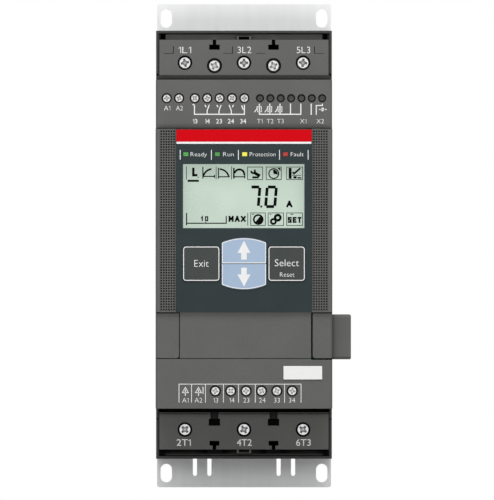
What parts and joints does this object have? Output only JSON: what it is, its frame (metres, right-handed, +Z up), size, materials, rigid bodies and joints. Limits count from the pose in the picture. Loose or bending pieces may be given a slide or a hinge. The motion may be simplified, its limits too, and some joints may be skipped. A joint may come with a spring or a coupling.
{
  "type": "soft starter",
  "caption": "Panel-mounted three-phase motor soft starter: stepped grey housing with keypad and display, screw clamps at top and bottom, finned heat sink and fans behind.",
  "frame": {"origin": "middle of the mounting plate's back face, which lies on the panel", "axes": "+Z up along the plate, +Y into the panel, so the keypad faces -Y; +X to the right as seen from the front"},
  "size_m": [0.0984, 0.187, 0.247],
  "materials": {
    "plated_steel": "zinc-plated sheet, satin",
    "screw_steel": "nickel-plated, bright",
    "dark_steel": "blackened",
    "aluminium": "extruded, as drawn",
    "housing_grey": "moulded, fine grain",
    "black_plastic": "moulded",
    "copper": "copper, tinned at the ends",
    "blue_plastic": "potted",
    "board": "glass-fibre laminate with solder mask",
    "display_pane": "back-lit, grey-green",
    "clear_pane": "clear, polished",
    "green_lens": "tinted, clear",
    "yellow_lens": "tinted, clear",
    "red_lens": "tinted, clear",
    "foil": "printed polyester film, satin",
    "red_film": "printed polyester film",
    "key_grey": "moulded, satin",
    "key_blue": "moulded, satin",
    "white_plastic": "smooth"
  },
  "bodies": {
    "housing": {"mounting_plate": "plated_steel", "plate_screws": "screw_steel", "heat_sink": "aluminium", "base_housing": "housing_grey", "fan_frames": "black_plastic", "thyristor_modules": "black_plastic", "module_screws": "screw_steel", "phase_busbars": "copper", "through_busbar": "copper", "bypass_relays": "black_plastic", "current_transformers": "blue_plastic", "power_board": "board", "line_terminal_block": "housing_grey", "load_terminal_block": "housing_grey", "line_terminal_cover": "housing_grey", "line_cover_screws": "screw_steel", "load_terminal_cover": "housing_grey", "middle_housing": "housing_grey", "relay_terminal_block": "black_plastic", "relay_terminal_screws": "screw_steel", "signal_terminal_block": "black_plastic", "signal_terminal_screws": "dark_steel", "control_cover": "housing_grey", "front_cover": "housing_grey", "control_board": "board", "key_switches": "black_plastic", "display_frame": "black_plastic", "display_glass": "display_pane", "display_window": "clear_pane", "ready_light": "green_lens", "run_light": "green_lens", "protection_light": "yellow_lens", "fault_light": "red_lens", "keypad_foil": "foil", "red_strip": "red_film", "lower_terminal_block": "black_plastic", "lower_terminal_screws": "screw_steel", "left_cap": "housing_grey", "right_cap": "housing_grey", "side_connector": "housing_grey", "marker_plate": "white_plastic"},
    "fan_rotor_left": {"fan_rotor_left": "black_plastic"},
    "fan_rotor_right": {"fan_rotor_right": "black_plastic"},
    "exit_key": {"exit_key": "key_grey"},
    "up_key": {"up_key": "key_blue"},
    "down_key": {"down_key": "key_blue"},
    "select_key": {"select_key": "key_grey"},
    "line_screw_1": {"line_screw_1": "screw_steel"},
    "line_screw_2": {"line_screw_2": "screw_steel"},
    "line_screw_3": {"line_screw_3": "screw_steel"},
    "line_clamp_1": {"line_clamp_1": "plated_steel"},
    "line_clamp_2": {"line_clamp_2": "plated_steel"},
    "line_clamp_3": {"line_clamp_3": "plated_steel"},
    "load_screw_1": {"load_screw_1": "screw_steel"},
    "load_screw_2": {"load_screw_2": "screw_steel"},
    "load_screw_3": {"load_screw_3": "screw_steel"},
    "load_clamp_1": {"load_clamp_1": "plated_steel"},
    "load_clamp_2": {"load_clamp_2": "plated_steel"},
    "load_clamp_3": {"load_clamp_3": "plated_steel"}
  },
  "joints": [
    {"name": "fan_spin_left", "type": "hinge", "parent": "housing", "child": "fan_rotor_left", "pos_m": [-0.0204, -0.0228, -0.09585], "axis": [0, 0, 1], "continuous": true},
    {"name": "fan_spin_right", "type": "hinge", "parent": "housing", "child": "fan_rotor_right", "pos_m": [0.0204, -0.0228, -0.09585], "axis": [0, 0, 1], "continuous": true},
    {"name": "exit_press", "type": "slide", "parent": "housing", "child": "exit_key", "axis": [0, 1, 0], "range_m": [0, 0.0005], "stiffness_N_per_m": 800, "springref_m": -0.002},
    {"name": "up_press", "type": "slide", "parent": "housing", "child": "up_key", "axis": [0, 1, 0], "range_m": [0, 0.0005], "stiffness_N_per_m": 800, "springref_m": -0.002},
    {"name": "down_press", "type": "slide", "parent": "housing", "child": "down_key", "axis": [0, 1, 0], "range_m": [0, 0.0005], "stiffness_N_per_m": 800, "springref_m": -0.002},
    {"name": "select_press", "type": "slide", "parent": "housing", "child": "select_key", "axis": [0, 1, 0], "range_m": [0, 0.0005], "stiffness_N_per_m": 800, "springref_m": -0.002},
    {"name": "line_screw_turn_1", "type": "hinge", "parent": "housing", "child": "line_screw_1", "pos_m": [-0.0299, -0.11, 0.0926], "axis": [0, 1, 0], "range_deg": [0, 3960]},
    {"name": "line_clamp_rise_1", "type": "slide", "parent": "housing", "child": "line_clamp_1", "axis": [0, -1, 0], "range_m": [0, 0.011]},
    {"name": "line_screw_turn_2", "type": "hinge", "parent": "housing", "child": "line_screw_2", "pos_m": [0, -0.11, 0.0926], "axis": [0, 1, 0], "range_deg": [0, 3960]},
    {"name": "line_clamp_rise_2", "type": "slide", "parent": "housing", "child": "line_clamp_2", "axis": [0, -1, 0], "range_m": [0, 0.011]},
    {"name": "line_screw_turn_3", "type": "hinge", "parent": "housing", "child": "line_screw_3", "pos_m": [0.0299, -0.11, 0.0926], "axis": [0, 1, 0], "range_deg": [0, 3960]},
    {"name": "line_clamp_rise_3", "type": "slide", "parent": "housing", "child": "line_clamp_3", "axis": [0, -1, 0], "range_m": [0, 0.011]},
    {"name": "load_screw_turn_1", "type": "hinge", "parent": "housing", "child": "load_screw_1", "pos_m": [-0.0299, -0.11, -0.09305], "axis": [0, 1, 0], "range_deg": [0, 3960]},
    {"name": "load_clamp_rise_1", "type": "slide", "parent": "housing", "child": "load_clamp_1", "axis": [0, -1, 0], "range_m": [0, 0.011]},
    {"name": "load_screw_turn_2", "type": "hinge", "parent": "housing", "child": "load_screw_2", "pos_m": [0, -0.11, -0.09305], "axis": [0, 1, 0], "range_deg": [0, 3960]},
    {"name": "load_clamp_rise_2", "type": "slide", "parent": "housing", "child": "load_clamp_2", "axis": [0, -1, 0], "range_m": [0, 0.011]},
    {"name": "load_screw_turn_3", "type": "hinge", "parent": "housing", "child": "load_screw_3", "pos_m": [0.0299, -0.11, -0.09305], "axis": [0, 1, 0], "range_deg": [0, 3960]},
    {"name": "load_clamp_rise_3", "type": "slide", "parent": "housing", "child": "load_clamp_3", "axis": [0, -1, 0], "range_m": [0, 0.011]}
  ],
  "couplings": [
    {"joint": "line_screw_turn_1", "follows": "line_clamp_rise_1", "rad_per_m": 6283.2},
    {"joint": "line_screw_turn_2", "follows": "line_clamp_rise_2", "rad_per_m": 6283.2},
    {"joint": "line_screw_turn_3", "follows": "line_clamp_rise_3", "rad_per_m": 6283.2},
    {"joint": "load_screw_turn_1", "follows": "load_clamp_rise_1", "rad_per_m": 6283.2},
    {"joint": "load_screw_turn_2", "follows": "load_clamp_rise_2", "rad_per_m": 6283.2},
    {"joint": "load_screw_turn_3", "follows": "load_clamp_rise_3", "rad_per_m": 6283.2}
  ]
}
